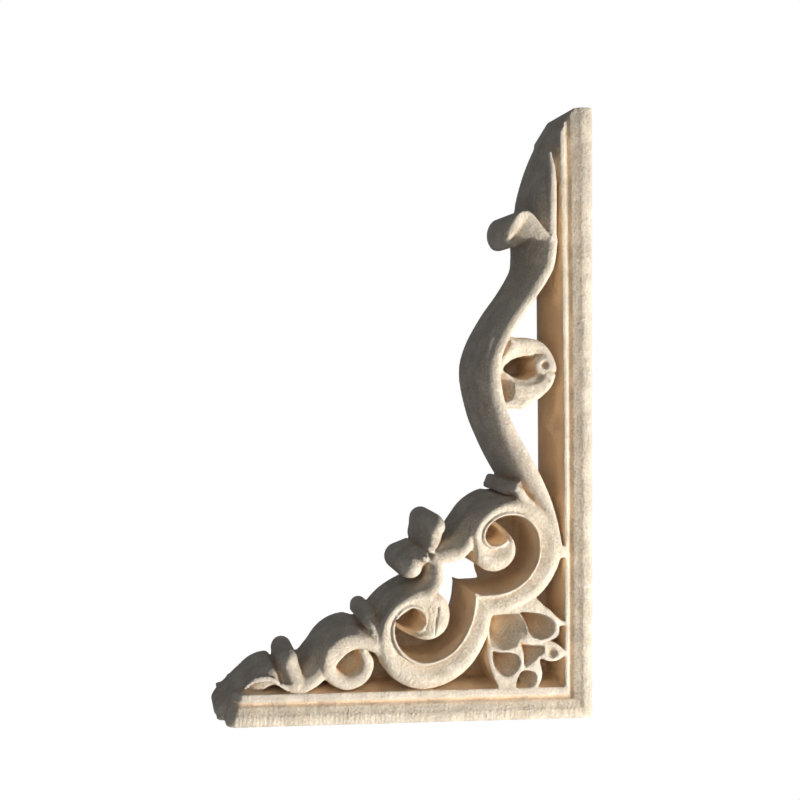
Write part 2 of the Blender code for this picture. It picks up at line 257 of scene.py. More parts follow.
def join_slab(block, marks, top, roll=2.0, drop=0.5, tilt=(0.0, 0.0)):
    """Adds wood inside a closed outline. Its top tilts about the outline's middle, and rolls over
    by drop within the roll distance of the edge."""
    outline = smooth(marks, closed=True)
    i, j, left, up = window(outline, 2)
    edge = inside(outline, left, up)
    middle = outline[:, :2].mean(axis=0)
    lower = drop * np.clip(1 - edge / roll, 0, 1) ** 2
    surface = top - lower + tilt[0] * (left - middle[0]) + tilt[1] * (up - middle[1])
    joined(block, i, j, np.minimum(surface[..., None] - heights, edge[..., None]))


def join_cowl(block, marks, crest, top, depth, ups_and_widths):
    """Adds wood inside a closed outline. Its front falls from a crest line by depth times v^1.7, with
    v the distance from the crest over the width, and the width changes with the place up the block.
    Within 1.2 mm of the outline the front also rolls over by 0.8 mm."""
    outline = smooth(marks, closed=True)
    i, j, left, up = window(outline, 2)
    edge = inside(outline, left, up)
    across, _, _ = nearest(smooth(crest), left, up)
    v = np.clip(np.abs(across) / np.interp(up, *ups_and_widths), 0, 1)
    lower = depth * v**COWL_FALL + COWL_DROP * np.clip(1 - edge / COWL_ROLL, 0, 1) ** 2
    joined(block, i, j, np.minimum((top - lower)[..., None] - heights, edge[..., None]), WIDE_FILLET)


# %% [markdown]
# ## Hollowing and scribing
# A hollow is cut with a gouge: its floor falls away from the rim, so only cells above that floor and
# inside the rim are lost. Fine creases are scribed along a path, and the marks that the tool leaves
# on broad faces are short ridges across a path. Both only move the surface by a fraction of a
# millimetre, so they are taken from the depth itself.

# %% Take wood from the block
WANDER, WANDER_RATE = 1.3, 0.7
COMB_REACH = 1.2


def hollow(block, marks, rim, deep, reach, tilt=(0.0, 0.0), lowest=2.0):
    """Cuts a bowl. Its floor is the rim's height less deep times 1 - (1 - s)^2, where s runs from
    0 at the rim to 1 at the reach, and the tilt raises it towards the left and up."""
    outline = smooth(marks, closed=True)
    i, j, left, up = window(outline, 1)
    edge = inside(outline, left, up)
    middle = outline[:, :2].mean(axis=0)
    s = np.clip(edge / reach, 0, 1)
    tilted = tilt[0] * (left - middle[0]) + tilt[1] * (up - middle[1])
    floor = rim - deep * (1 - (1 - s) ** 2) + s * tilted
    kept = np.maximum(np.maximum(floor, lowest)[..., None] - heights, -edge[..., None])
    block[i, j] = np.minimum(block[i, j], kept)


def scribe(block, marks, depth, width):
    """Sinks the surface beside a path by depth times (1 - d / width)^1.5. A negative depth raises it."""
    path = smooth(marks, spacing=FINE_SPACING)
    i, j, left, up = window(path, width + 0.5)
    across, _, _ = nearest(path, left, up)
    block[i, j] -= (depth * np.clip(1 - np.abs(across) / width, 0, 1) ** 1.5)[..., None]


def comb(block, marks, depth, width, pitch):
    """Rows of short tool marks across a path: a sine along it whose pitch wanders a little, fading
    out towards the width."""
    path = smooth(marks, spacing=FINE_SPACING)
    i, j, left, up = window(path, width + 0.5)
    across, along, _ = nearest(path, left, up)
    wave = np.sin(along * 2 * math.pi / pitch + WANDER * np.sin(along * WANDER_RATE))
    fade = np.clip(COMB_REACH - np.abs(across) / width, 0, 1)
    block[i, j] -= (depth * (0.5 + 0.5 * wave) * fade)[..., None]


# %% [markdown]
# ## The S scroll
# The long S scroll runs from its curl near the top down to the corner of the C scrolls. Its crest
# lies along the right edge, and the face rolls over to the left. A leaf rises from it to the top of
# the upright bar.

# %% S scroll, its curl and the leaf above
S_SCROLL = [
    (20.6, 199, 3.6, 34.7), (22.8, 188, 3.7, 34.7), (28.9, 177.6, 3.4, 34.7), (36.8, 166.6, 3.3, 34.7),
    (43.3, 154, 3.6, 34.7), (45, 143, 4, 34.7), (42, 128, 4, 34.7), (37.5, 117.5, 4.3, 34.7),
    (33, 109, 4.6, 34.7), (27, 98.5, 4.4, 34.5), (21, 87, 3.2, 34), (16.5, 75, 1.8, 33), (15, 69, 1.2, 32),
]
HOOK = [
    (25.4, 190), (25.7, 197), (26.4, 200.8), (28.4, 198.9), (31, 197.9), (34, 199), (35.8, 202),
    (36.2, 205.4), (35, 209.2), (32.6, 211.4), (30, 211.9), (27.4, 210.4), (25, 207.6), (22.6, 204.4),
    (20, 200.6), (18.6, 196), (19.4, 190), (22.6, 187),
]
HOOK_CREST = [
    (20, 188), (18.8, 194), (20.2, 200), (23, 203.8), (25.4, 206.8), (28, 209.8), (31, 211), (33.6, 210.2),
]
HOOK_UPS, HOOK_WIDTHS = (193, 204), (5.6, 9.4)
HOOK_END = [
    (32, 209.4, 1.8, 33.7), (33.6, 206.6, 2.0, 32), (33.8, 203.2, 2.0, 27.5), (32.6, 200.6, 2.0, 22),
]
TOP_LEAF = [
    (21.5, 194, 3, 33), (21, 206, 3.4, 33), (20.4, 217, 3.4, 32), (17.6, 228, 3.4, 29.5),
    (14.2, 237, 3.4, 27), (11.0, 243.2, 3.4, 25.5), (7.6, 248.6, 2.6, 24),
]
TOP_LEAF_RIDGE = [
    (20.6, 188, 1.8, 34.4), (19.4, 198, 2.1, 34.4), (18.7, 215, 1.9, 34), (18.5, 228, 1.5, 33),
    (19, 236, 0.7, 31),
]
wood = blank()
join_band(wood, TOP_LEAF, mirrored(rolled_face), 9.0)
join_band(wood, TOP_LEAF_RIDGE, round_face, 2.0, foot=20.0)
join_cowl(wood, HOOK, HOOK_CREST, 34.5, 12.5, (HOOK_UPS, HOOK_WIDTHS))
join_band(wood, HOOK_END, round_face, 3.5, fillet=WIDE_FILLET)
join_band(wood, S_SCROLL, rolled_face, 12.0, fillet=WIDE_FILLET)
scribe(wood, HOOK_CREST[2:], -0.4, 0.8)
tell("S scroll, curl and leaf", wood)

# %% [markdown]
# ## The ring scroll
# Between the S scroll and the bar sits a small scroll like an eye, with a deep blind hole, a lip
# below it and a tiny ring where the scroll ends.

# %% Ring scroll beside the upright bar
RING_OUTLINE = [
    (44, 159.8), (37.4, 159.8), (33.8, 159.3), (30, 159.2), (26, 158.6), (22.2, 156.9), (19.3, 153.6),
    (17.3, 149.6), (16.6, 146.2), (17.2, 142.8), (19.2, 138.4), (23.2, 134.6), (26, 132.8), (29.4, 130.8),
    (31.4, 129.6), (33.4, 130), (37.6, 129.8), (42, 130), (46, 140), (47, 150),
]
RING_SLOPE = [
    (40.6, 146), (37.5, 152), (33.5, 154.6), (29, 155.4), (24, 154.4), (20.8, 150.6), (20.6, 146),
    (23.6, 141), (29, 139.4), (35, 140.4), (38.5, 143),
]
RING_HOLE = [
    (39.4, 146.2), (36.8, 149.2), (33.8, 150.8), (30, 151.8), (26.6, 151.6), (24.6, 149.8), (24.6, 146.6),
    (25.2, 143.8), (29, 142), (32.4, 142), (34.8, 142.8), (36.8, 144),
]
WEB_HOLLOW = [(43, 158.6), (36.5, 158), (37.6, 154.6), (39.6, 151.4), (42.6, 149.4), (45, 153)]
LIP_HOLLOW = [
    (40.4, 145), (37.6, 143.2), (35.2, 140.8), (34.6, 137), (36, 133.6), (39.6, 133), (42.4, 137), (42, 142),
]
TINY_RING_HOLLOW = [(24.2, 148), (22, 150.2), (20.2, 148), (22, 146)]
ring = blank()
join_slab(ring, RING_OUTLINE, 33.0, 2.2, 1.4)
hollow(ring, RING_SLOPE, 32.8, 2.2, 4.0)
hollow(ring, RING_HOLE, 31.0, 40.0, 3.0, lowest=9.0)
hollow(ring, WEB_HOLLOW, 32.4, 3.0, 4.0, tilt=(-0.3, 0.2))
hollow(ring, LIP_HOLLOW, 32.0, 4.5, 4.0, tilt=(-0.4, 0.0))
join_dome(ring, 22.0, 148.0, 4.2, 33.4, 1.6)
hollow(ring, TINY_RING_HOLLOW, 33.2, 2.6, 2.0)
scribe(ring, [(25.2, 144.2), (22.8, 143.4), (20.4, 141.4)], 0.8, 0.9)
scribe(ring, [(20, 145.6), (18, 144.8), (16.4, 144.6)], 1.2, 0.8)
scribe(ring, [(24.2, 151.6), (25.6, 152.6)], 0.6, 0.7)
wood = np.maximum(wood, ring)
tell("with the ring scroll", wood)

# %% [markdown]
# ## The C scrolls
# Two C scrolls meet in a point in the middle of the corner. Each band turns in on itself and ends
# in a round bulb whose thin tail turns up inside. A carver leaves a bead along the inner edge,
# so the eye follows the curl. The arms behind them roll over to the outside.

# %% The C scrolls and their arms
UPPER_C = [
    (58, 51, 3.8, 34), (52.4, 50, 3.9, 34), (46.5, 49.2, 4.5, 34), (39.5, 49.5, 4.8, 34),
    (32, 52.3, 4.9, 34), (25, 58, 5.1, 34), (20.5, 65.8, 5.3, 34), (19.5, 74, 5.3, 34),
    (22.2, 82.2, 4.6, 34), (28.5, 87.7, 3.6, 34), (36, 89, 2.9, 34), (43, 87, 2.5, 34),
    (48.6, 82, 2.5, 34), (50, 75.5, 3, 34), (47.2, 69.8, 4.6, 33.6), (42.3, 67.9, 5.7, 33.4),
    (37.9, 70.2, 4.4, 33), (36.2, 75, 1.8, 31), (37.4, 78.6, 1.1, 25), (40.4, 81.4, 1, 18),
    (43.6, 82.4, 1, 12),
]
LOWER_C = [
    (48.2, 59, 3.6, 34), (48, 52.5, 3.9, 34), (48.5, 44, 4.5, 34), (51.4, 35.2, 5, 34),
    (57.3, 26.8, 5.5, 34), (66, 21.5, 5.9, 34), (75, 20.6, 5.9, 34), (82.8, 24.4, 5.4, 34),
    (87.5, 31.6, 4.3, 34), (88.2, 40, 3, 34), (85, 46.8, 2.4, 34), (79, 51, 2.5, 34),
    (72.6, 51.2, 4.2, 33.6), (67.6, 47.6, 5.7, 33.4), (67, 42, 5.2, 33), (70.2, 38.4, 3.7, 32.5),
    (74.8, 36.8, 1.6, 29), (79, 37.4, 1, 22), (82.8, 40, 1, 15), (84.4, 43.4, 1, 11),
]
OUTER_CUSP, INNER_CUSP = (44.4, 45.2), (51.2, 53.6)
UPPER_ARM = [
    (70.5, 69.5, 3.2, 32), (64, 70.4, 4, 33), (58.2, 71.8, 3.9, 33), (54.4, 75.6, 3.2, 33),
    (51.4, 80.6, 2.6, 32.5), (47.6, 85.6, 2.6, 32), (42, 89.6, 2.6, 32), (35, 92, 2.4, 31.5),
]
LOWER_ARM = [
    (70.2, 70.5, 3, 32), (68.2, 65, 3.2, 33), (68.6, 59, 3.6, 33), (72.5, 54, 3.6, 32),
    (78.5, 50.8, 3.2, 31), (84, 47, 3, 31), (88.6, 42, 2.8, 30.5), (90, 34.5, 1.8, 30),
]
join_band(wood, UPPER_ARM, mirrored(rolled_face), 11.0)
join_band(wood, LOWER_ARM, rolled_face, 11.0)
join_band(wood, UPPER_C, bead_face, 4.2, mitre=(OUTER_CUSP, INNER_CUSP), fillet=1.6)
join_band(wood, LOWER_C, mirrored(bead_face), 4.2, mitre=(INNER_CUSP, OUTER_CUSP), fillet=1.6)
comb(wood, [(52, 31), (58, 23.6), (66, 18.4), (75, 17.4), (84, 21.6)], 0.35, 2.2, 1.7)
comb(wood, [(40, 46.4), (32, 48.6), (23, 54.6), (17.6, 62)], 0.3, 2.2, 1.9)
UPPER_EYE_FLOOR = [
    (52, 74), (50, 84), (43, 89), (32, 90), (22, 84), (19, 74), (22, 62), (30, 53.5), (38, 51),
    (42, 58), (43, 66),
]
LOWER_EYE_FLOOR = [(89, 40), (86, 48), (78, 52), (69, 49), (65.5, 40), (66, 24), (76, 20), (86, 28)]
join_slab(wood, UPPER_EYE_FLOOR, 9.4)
join_slab(wood, LOWER_EYE_FLOOR, 9.5)
scribe(wood, [(66.8, 48.8), (67.2, 45), (67.8, 40.8), (68, 36.8)], 0.9, 0.7)
scribe(wood, [(70.4, 48.6), (69.8, 45), (70, 42), (70.8, 39.6)], -0.5, 0.8)
scribe(wood, [(63, 42.4), (65.4, 40.6)], 0.5, 0.6)
scribe(wood, [(42.4, 66.4), (42.2, 64.4)], 0.6, 0.6)
scribe(wood, [(38, 67.6), (39.2, 65.8)], 0.5, 0.6)
scribe(wood, [(52.4, 76), (51.4, 70), (52.6, 65)], 1.0, 1.6)
tell("with the C scrolls", wood)

# %% [markdown]
# ## Leaf tips and the collar
# Where the arms part, two leaf tips bulge out like knuckles, with creases that all run to the place
# where they meet. A collar ties the S scroll to the upper C. Each tip is a short neck that widens
# and ends in a round boss, which is how a carver rounds it over.

# %% The round leaf tips and the collar
UPPER_KNOB_NECK = [(69.5, 69.4, 3.0, 31), (68.2, 73.6, 4.0, 30.4), (67, 78, 4.5, 29)]
LOWER_KNOB_NECK = [(69.5, 69.4, 3.0, 31), (72.4, 67.6, 4.2, 30.4), (74.8, 65.8, 5.0, 29)]
COLLAR = [(27.6, 90.2, 2.0, 33.4), (30.4, 92.6, 2.3, 33.8), (32.4, 95.2, 2.6, 33.8), (33.4, 97.4, 2.8, 33)]
join_band(wood, UPPER_KNOB_NECK, round_face, 9.0)
join_band(wood, LOWER_KNOB_NECK, round_face, 9.0)
join_band(wood, COLLAR, round_face, 5.0)
join_dome(wood, 66.4, 80.8, 4.9, 31.8, 12.0)
join_dome(wood, 76.6, 64.3, 5.8, 31.4, 12.0)
join_dome(wood, 33.8, 97, 3.4, 33.6, 10.0)
join_dome(wood, 36.0, 95.2, 2.0, 28, 5.0)
scribe(wood, [(38, 102.2), (35.6, 100.8), (33.4, 99.6), (31.4, 97.2)], 1.4, 1.0)
scribe(wood, [(38.6, 93.8), (36.6, 93.2), (34.6, 93.4)], 1.4, 0.9)
join_dome(wood, 14.2, 70.4, 2.4, 32.5, 1.0)
MEETING = (69.8, 69.8)
CREASES = [
    ((76, 79), (73, 73.6), 1.2), ((62.6, 76.4), (66, 72.6), 0.7),
    ((72.6, 59), (71.4, 64), 0.7), ((63, 67), (66.4, 68.4), 0.4),
]
for start, middle, depth in CREASES:
    scribe(wood, [start, middle, MEETING], depth, 1.2)
tell("with the leaf tips and the collar", wood)

# %% [markdown]
# ## The rail of waves
# The lower bar carries a rail: a hanging leaf, a wave over a ring, a knob and an end leaf with
# a notched rim. Behind them the wood isn't sawn through, so a low floor closes the gaps, and a higher
# sloping one fills the ring.

# %% The rail above the lower bar
RAIL_COLLAR = [
    (94, 43.4, 3.6, 28.5), (93.6, 40.6, 3.8, 31), (91.8, 35.6, 3.1, 32.2), (88.6, 29.2, 1.0, 32.6),
]
RAIL_RING = [
    (88.5, 28.5, 1.6, 32), (93.5, 33, 2.5, 32.5), (99.5, 35.2, 2.8, 32.5), (105.8, 34.8, 2.9, 32.5),
    (110.9, 31, 3, 32.5), (112.4, 25, 3, 32.5), (109.4, 19.8, 3.1, 32), (103.6, 17.8, 3.2, 32),
    (98, 20.4, 3.1, 31.5), (95.6, 25.6, 2.7, 31), (97.6, 30.2, 1.6, 31),
]
RAIL_WAVE = [
    (94.5, 34.6, 3.2, 32), (100.5, 36, 4, 32.2), (105.6, 34.4, 4.2, 32.2), (109.8, 31, 4.3, 32),
    (113.8, 26, 4.3, 31.6), (118.2, 21, 4.2, 31.4), (122.4, 18.4, 4.1, 31.2), (126, 18.2, 3.8, 31),
]
RAIL_KNOB = [(125.4, 18.4, 4.0, 31.4), (126.4, 21, 4.3, 31.2), (127.9, 25, 4.2, 30.2)]
LEAF_RIM = [
    (146, 16.6, 0.8, 30), (142.4, 19.6, 1, 31), (137, 20.4, 1.1, 31.2), (132.6, 18.6, 1.1, 31.2),
    (129, 15.8, 0.8, 31),
]
END_LEAF = [
    (128.5, 18.5, 3.2, 28), (134.5, 20.6, 3.4, 29), (139.8, 18.8, 3.8, 28.5), (144.2, 14.6, 4.2, 27.5),
    (148.8, 10, 4.3, 26), (151.6, 7.4, 4.1, 25), (153.6, 5.6, 3.8, 24), (155, 4.4, 3.2, 23),
]
RAIL_FLOOR = [
    (148, 9), (143, 13.5), (134, 18), (124, 18), (111, 24), (104, 34), (92, 31), (80, 22), (66, 22),
    (56, 29), (49.5, 38), (42, 40), (31, 42), (25, 50), (17, 54), (12.4, 50), (12, 30), (12, 9),
]
RING_FLOOR = [(113, 26), (110, 33), (102, 35), (95, 32), (94, 24), (98, 18), (108, 18)]
join_slab(wood, RAIL_FLOOR, 10.0)
join_slab(wood, RING_FLOOR, 19.0, tilt=(-0.7, -0.9))
join_band(wood, RAIL_WAVE, rolled_face, 10.0)
join_band(wood, RAIL_RING, round_face, 3.6, fillet=2.0)
join_band(wood, RAIL_COLLAR, round_face, 7.0, fillet=1.2)
join_band(wood, END_LEAF, rolled_face, 9.0)
join_band(wood, RAIL_KNOB, round_face, 8.0, fillet=3.0)
join_dome(wood, 127.9, 26, 4.3, 30.4, 8.0)
join_band(wood, LEAF_RIM, round_face, 0.6)
comb(wood, LEAF_RIM, 0.35, 1.6, 1.9)
scribe(wood, [(137.2, 31), (134, 26), (131.6, 19)], 1.8, 1.4)
scribe(wood, [(104.4, 44), (101.4, 41.4), (94.8, 39.2)], 1.6, 1.0)
comb(wood, [(101, 41.4), (98, 39.8), (94.6, 38.2)], 0.8, 0.7, 0.9)
tell("with the rail", wood)

# %% [markdown]
# ## The leaf lobes
# In the corner a leaf spreads into four lobes, each scooped out to a thin rim, round a deep
# heart. They are carved as a group of their own, so that the gouge that hollows them doesn't touch
# the C scrolls.

# %% The four lobes
RIGHT_LOBE = [
    (33, 51, 4.6, 32.3), (29.6, 47, 6.2, 32.3), (24.6, 41.2, 6.8, 32.3), (20.4, 38.6, 5.0, 32.3),
    (18.4, 37.6, 3.0, 32),
]
RIGHT_LOBE_TIP = [(21, 44.4, 2.6, 32), (17, 41.4, 1.9, 32), (13.8, 40.6, 0.9, 31.5)]
SMALL_LOBE = [(28, 33.5, 2.8, 31.5), (22.8, 30.6, 3.8, 31.5), (18, 28.6, 3.9, 31.5), (14.2, 28.2, 1.6, 31.5)]
LOW_LOBE = [
    (41, 35, 4.0, 32), (38.4, 29, 7.2, 32), (37.6, 24, 7.0, 32), (37.2, 18.8, 5.4, 32),
    (37.8, 13.4, 2.6, 31.5),
]
LAST_LOBE = [(31, 29, 3.4, 31.5), (28, 23.6, 4.4, 31.5), (26.6, 19, 4.2, 31.5), (27, 14, 1.8, 31.5)]
MIDDLE = [(32, 36, 3.5, 31), (28, 30, 3.5, 31), (26, 26, 3.0, 31)]
RIGHT_HOLLOW = [
    (32, 45.6), (25.2, 45.4), (22, 44.6), (19.6, 43.4), (18, 41.6), (17.4, 39.6), (18, 37.4), (19.6, 35.6),
    (21.6, 34.4), (24, 34.2), (26.4, 34.8), (28, 36), (28.8, 38), (29.4, 40.4), (30.8, 42.8),
]
LOW_HOLLOW = [
    (43.7, 30.4), (41.8, 29.6), (39.2, 29.2), (36.4, 29.2), (33.4, 28.2), (32, 26), (31.8, 24), (33.2, 21.6),
    (35.4, 19.8), (37.8, 19), (40, 19.6), (42, 21.2), (43.4, 24), (43.7, 27.4),
]
HEART = [
    (44.6, 45.3), (38, 45.4), (32, 45.2), (30.4, 42.4), (29.4, 38.8), (29, 36), (31.4, 33.4), (34, 31.4),
    (37, 30.4), (40, 30.4), (43, 31.4), (45, 33), (45.4, 39),
]
MIDDLE_HOLLOW = [
    (32.2, 33), (29, 32.4), (25.2, 32), (22, 31.6), (21.2, 29.6), (23.4, 27), (26.6, 24.6), (30, 22.8),
    (30.4, 27), (31, 30),
]
SMALL_HOLLOW = [(21, 31), (18.4, 31.4), (16.2, 29.4), (15.8, 27.6), (18, 26), (20.4, 27.2)]
LAST_HOLLOW = [
    (31.6, 20.8), (28.6, 21.4), (25.6, 20.4), (24.8, 17.8), (26, 15.4), (28.6, 14.2), (33.2, 14),
    (33.4, 17.4),
]
lobes = blank()
for marks in (RIGHT_LOBE, RIGHT_LOBE_TIP, SMALL_LOBE, LOW_LOBE, LAST_LOBE, MIDDLE):
    join_band(lobes, marks, round_face, 0.9)
join_slab(lobes, HEART, 31.0)
hollow(lobes, HEART, 31.4, 9.0, 6.0, tilt=(-1.3, -1.0), lowest=5.0)
hollow(lobes, RIGHT_HOLLOW, 31.8, 15.0, 5.6, tilt=(-1.3, -0.6), lowest=5.0)
hollow(lobes, LOW_HOLLOW, 31.8, 14.0, 6.0, tilt=(-0.9, -0.9), lowest=5.0)
hollow(lobes, MIDDLE_HOLLOW, 31.4, 7.0, 3.4, tilt=(-1.0, -0.4), lowest=8.0)
hollow(lobes, SMALL_HOLLOW, 31.4, 2.6, 2.8)
hollow(lobes, LAST_HOLLOW, 31.0, 9.0, 3.0, tilt=(-0.8, -0.4))
wood = np.maximum(wood, lobes)
tell("with the lobes", wood)

# %% [markdown]
# ## The moulding
# Two bars meet in a mitre at the corner. Each has a narrow fillet inside, a step, a shallow cove
# and a round bead on the outer edge. The height of the front is a function of the distance from the
# outer edge, and the nearer of the two edges counts, which makes the mitre by itself. The upright
# bar is a little wider at its top.

# %% The L-shaped bar
BAR_PROFILE = [
    (0, 26), (0.3, 28.6), (0.9, 30.6), (1.8, 31.6), (3, 32), (4.4, 32.05), (5.2, 31.85), (5.9, 31.35),
    (7, 30.75), (8.1, 30.2), (8.7, 29.8), (9.2, 29), (9.8, 28.7), (10.5, 28.9), (10.9, 31.2),
    (11.2, 31.6), (12.5, 31.6), (16, 31.5),
]
UPRIGHT_WIDTH, LOWER_WIDTH, BAR_TOP = 12.8, 14.2, 255.0
WIDER_AT_TOP, WIDENING = 0.19, 2.2
SLANT_START, SLANT = 8.8, 1.6
END_LEFT, END_LEAN, END_ROUND, END_FALL = 151.2, 0.28, 4.0, 5.0
left, up = np.meshgrid(lefts, ups, indexing="ij")
across = left / (1 + WIDER_AT_TOP * np.clip(up / BAR_TOP, 0, 1) ** WIDENING)
front = np.interp(np.minimum(across, up), *zip(*BAR_PROFILE))
from_end = END_LEFT + END_LEAN * np.clip(LOWER_WIDTH - up, 0, None) - left
corner = END_ROUND - np.hypot(np.clip(END_ROUND - from_end, 0, None), np.clip(END_ROUND - up, 0, None))
slanted = (BAR_TOP - SLANT * (left - SLANT_START) - up) / math.hypot(1, SLANT)
front = front - END_FALL * np.clip(1 - from_end / END_FALL, 0, 1) ** 2
either_bar = np.maximum(UPRIGHT_WIDTH - across, LOWER_WIDTH - up)
edges = [left, up, either_bar, from_end, corner, slanted, BAR_TOP - up]
bar = np.minimum(front[..., None] - heights, np.minimum.reduce(edges)[..., None])
joined(wood, slice(None), slice(None), bar)
comb(wood, [(6, 3.4), (150, 3.4)], 0.3, 3.2, 1.7)
wood = np.minimum(wood, heights)
tell("the whole onlay", wood)

# %% [markdown]
# ## From cells to a skin
# The skin of the wood runs where the cells change from inside to outside. In every small cube with
# both kinds of corner there is one point, the mean of where the skin crosses the cube's twelve edges,
# and every cell edge that the skin crosses gets a face between the four points round it.

# %% Points and faces of the skin
def skin(block):
    """Surface nets over the block: points (left, up, height) and four-sided faces, facing outwards."""
    solid = block > 0
    corners = [(i, j, k) for i in (0, 1) for j in (0, 1) for k in (0, 1)]
    n = np.array(block.shape) - 1
    count = sum(solid[i:i + n[0], j:j + n[1], k:k + n[2]].astype(np.int8) for i, j, k in corners)
    cube = np.argwhere((count > 0) & (count < 8))
    total = np.zeros((len(cube), 3))
    crossings = np.zeros(len(cube))
    for start in corners:
        for axis in range(3):
            if start[axis]:
                continue
            end = list(start)
            end[axis] = 1
            v0 = block[tuple((cube + start).T)]
            v1 = block[tuple((cube + end).T)]
            crossed = (v0 > 0) != (v1 > 0)
            t = np.where(crossed, v0 / np.where(crossed, v0 - v1, 1), 0)
            spot = np.tile(np.array(start, dtype=float), (len(cube), 1))
            spot[:, axis] += t
            total += spot * crossed[:, None]
            crossings += crossed
    points = cube + total / crossings[:, None]
    number = np.full(tuple(n), -1, dtype=np.int32)
    number[tuple(cube.T)] = np.arange(len(cube))
    faces = []
    for axis in range(3):
        u, v = (axis + 1) % 3, (axis + 2) % 3
        step = np.eye(3, dtype=int)
        first = np.moveaxis(solid, axis, 0)
        change = np.argwhere(np.moveaxis(first[:-1] != first[1:], 0, axis))
        change = change[(change[:, u] > 0) & (change[:, v] > 0)]
        rising = ~solid[tuple(change.T)]
        a = number[tuple((change - step[u] - step[v]).T)]
        b = number[tuple((change - step[v]).T)]
        c = number[tuple(change.T)]
        d = number[tuple((change - step[u]).T)]
        quad = np.stack([a, b, c, d], axis=1)
        quad[rising] = quad[rising][:, ::-1]
        faces.append(quad)
    faces = np.vstack(faces)
    first_cell = np.array([lefts[0], ups[0], heights[0]])
    return first_cell + points * CELL, faces


place, faces = skin(wood)
print("skin:", len(place), "points,", len(faces), "faces")

# %% [markdown]
# ## One mesh
# The skin has as many faces on a flat side as in a crease. Neighbours that lie in one plane are
# merged until about 190,000 triangles are left, which keeps the creases sharp. Edges that turn by
# more than 38 degrees stay hard, as the rims of sawn wood are.

# %% Into a mesh, with fewer triangles where the wood is flat
MOST_TRIANGLES = 190000
HARD_EDGE = 38


def into_row_frame(place):
    """From (left, up, height) in millimetres to X to the right, -Y to the front and Z up, in metres."""
    return np.stack([MITRE_POINT - place[:, 0], -place[:, 2], place[:, 1] - MITRE_POINT], axis=1) * MM


def mesh_from(name, points, faces):
    """A mesh from arrays of points and four-sided faces."""
    mesh = bpy.data.meshes.new(name)
    mesh.vertices.add(len(points))
    mesh.vertices.foreach_set("co", points.astype(np.float32).ravel())
    mesh.loops.add(faces.size)
    mesh.loops.foreach_set("vertex_index", faces.astype(np.int32).ravel())
    mesh.polygons.add(len(faces))
    mesh.polygons.foreach_set("loop_start", np.arange(0, faces.size, 4, dtype=np.int32))
    mesh.update(calc_edges=True)
    mesh.validate()
    return mesh


full_mesh = mesh_from("carved_onlay_wood", into_row_frame(place), faces)
onlay = bpy.data.objects.new("carved_onlay_wood", full_mesh)
bpy.context.scene.collection.objects.link(onlay)
thin = onlay.modifiers.new("fewer_triangles", "DECIMATE")
thin.ratio = min(1.0, MOST_TRIANGLES / (2 * len(faces)))
thin.use_collapse_triangulate = True
evaluated = onlay.evaluated_get(bpy.context.evaluated_depsgraph_get())
light_mesh = bpy.data.meshes.new_from_object(evaluated)
onlay.modifiers.clear()
onlay.data = light_mesh
light_mesh.name = "carved_onlay_wood"
light_mesh.shade_smooth()
light_mesh.set_sharp_from_angle(angle=math.radians(HARD_EDGE))
steady = onlay.modifiers.new("flat_faces_stay_flat", "WEIGHTED_NORMAL")
steady.keep_sharp = True
print("mesh:", len(light_mesh.vertices), "points,", len(light_mesh.polygons), "triangles")

# %% [markdown]
# ## Where the wood is hollow
# Hollows get a deeper, warmer tone as painted shade and painted bounce light, and ridges a paler one
# as a painted highlight. How hollow a place is can be told from the share of wood in a small cube round
# it: half on a flat face, more in a crease, less on a ridge.

# %% How hollow the wood is, kept at each point
ROUNDS = 2
HOLLOW_CELLS, FLAT_SHARE, HOLLOW_GAIN = 4, 0.5, 3.0


def blurred(block, cells):
    """The mean over a cube of that many cells each way, by running sums along the three axes,
    taken twice so that it fades out smoothly."""
    for _ in range(ROUNDS):
        for axis in range(3):
            padded = np.concatenate([np.repeat(np.take(block, [0], axis), cells + 1, axis), block,
                                     np.repeat(np.take(block, [-1], axis), cells, axis)], axis)
            sums = np.cumsum(padded, axis, dtype=np.float32)
            first = np.arange(block.shape[axis])
            span = 2 * cells + 1
            block = (np.take(sums, first + span, axis) - np.take(sums, first, axis)) / span
    return block


def read_at(block, points):
    """The block's values at the cells nearest to points in the row frame."""
    spot = np.stack([MITRE_POINT - points[:, 0] / MM - lefts[0], points[:, 2] / MM + MITRE_POINT - ups[0],
                     -points[:, 1] / MM - heights[0]], axis=1) / CELL
    spot = np.clip(np.rint(spot).astype(int), 0, np.array(block.shape) - 1)
    return block[tuple(spot.T)]


points = np.empty(len(light_mesh.vertices) * 3, dtype=np.float32)
light_mesh.vertices.foreach_get("co", points)
points = points.reshape(-1, 3)
solid = (wood > 0).astype(np.float32)
share_of_wood = read_at(blurred(solid, HOLLOW_CELLS), points)
# This measure later sets painted shade in hollows and a painted highlight on ridges.
hollowness = np.clip((share_of_wood - FLAT_SHARE) * HOLLOW_GAIN, -1, 1)
attribute = light_mesh.attributes.new("hollowness", "FLOAT", "POINT")
attribute.data.foreach_set("value", hollowness.astype(np.float32))
print("hollowness from", hollowness.min().round(2), "to", hollowness.max().round(2))

# %% [markdown]
# ## Painted bounce light on the opening walls
# The walls inside the openings are painted warmer and brighter than the carved outside: painted bounce
# light from the lit wood across each opening. To find them, air is let in from the edge of the plank at
# half height, a cell at a time. Air that it never reaches lies in an opening, and a steep face beside
# such air is such a wall.

# %% Which walls get painted bounce light
SAW_HEIGHT = 20.0
WALL_CELLS, WALL_GAIN = 2, 4
STEEP_BELOW, STEEP_SPAN = 0.75, 0.45


